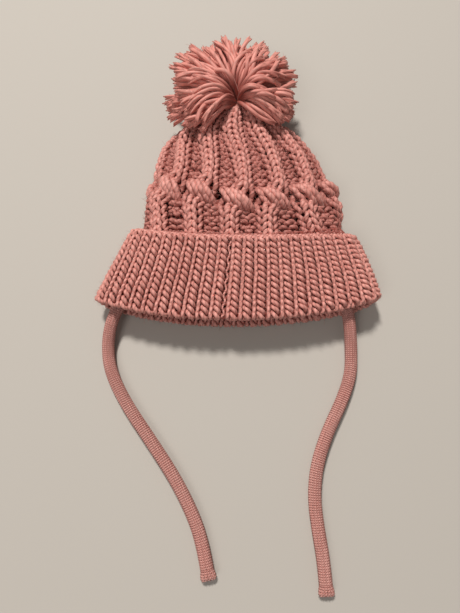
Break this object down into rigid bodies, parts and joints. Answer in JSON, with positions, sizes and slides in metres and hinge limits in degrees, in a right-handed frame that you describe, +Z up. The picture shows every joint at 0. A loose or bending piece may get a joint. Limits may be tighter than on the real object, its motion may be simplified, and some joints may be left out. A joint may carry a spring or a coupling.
{
  "type": "pom pom beanie",
  "caption": "Child's chunky cable-knit beanie with a turned-up ribbed cuff, a yarn pom-pom and a knitted tie at each side, lying flat.",
  "frame": {"origin": "under the middle of the hat, without its ties, on the surface that it lies on", "axes": "+Y from the face opening to the pom-pom, +X across the hat, +Z up from the surface; the back of the hat faces up"},
  "size_m": [0.219, 0.4305, 0.0637],
  "materials": {
    "cable_knit": "chunky plied yarn, soft sheen",
    "rib_knit": "chunky plied yarn in 1x1 rib, soft sheen",
    "pompom_yarn": "smooth cut yarn",
    "tie_knit": "fine-gauge tubular knit",
    "sewing_yarn": "matching sewing yarn"
  },
  "bodies": {
    "hat": {"crown": "cable_knit", "crown_back_seam": "sewing_yarn", "crown_gathering_yarn": "sewing_yarn", "inner_rib_band": "rib_knit", "turned_up_cuff": "rib_knit", "cuff_back_seam": "sewing_yarn"},
    "pompom_tie": {"pompom_fixing_yarn": "pompom_yarn", "pompom_anchor_knot": "pompom_yarn"},
    "pompom": {"pompom_left_strands": "pompom_yarn", "pompom_right_strands": "pompom_yarn", "pompom_binding": "pompom_yarn"},
    "left_tie": {"left_tie_cord": "tie_knit", "left_tie_tip": "tie_knit", "left_tie_stitches": "sewing_yarn"},
    "right_tie": {"right_tie_cord": "tie_knit", "right_tie_tip": "tie_knit", "right_tie_stitches": "sewing_yarn"}
  },
  "joints": [
    {"name": "pompom_swing", "type": "hinge", "parent": "hat", "child": "pompom_tie", "pos_m": [0, 0.044, 0.025], "axis": [0, 0, 1], "range_deg": [-18, 18]},
    {"name": "pompom_nod", "type": "hinge", "parent": "pompom_tie", "child": "pompom", "pos_m": [0, 0.051, 0.027], "axis": [1, 0, 0], "range_deg": [0, 25]},
    {"name": "left_tie_swing", "type": "hinge", "parent": "hat", "child": "left_tie", "pos_m": [-0.082, -0.093, 0.0148], "axis": [0, 0, 1], "range_deg": [-8, 10]},
    {"name": "right_tie_swing", "type": "hinge", "parent": "hat", "child": "right_tie", "pos_m": [0.082, -0.096, 0.0148], "axis": [0, 0, -1], "range_deg": [-8, 10]}
  ]
}
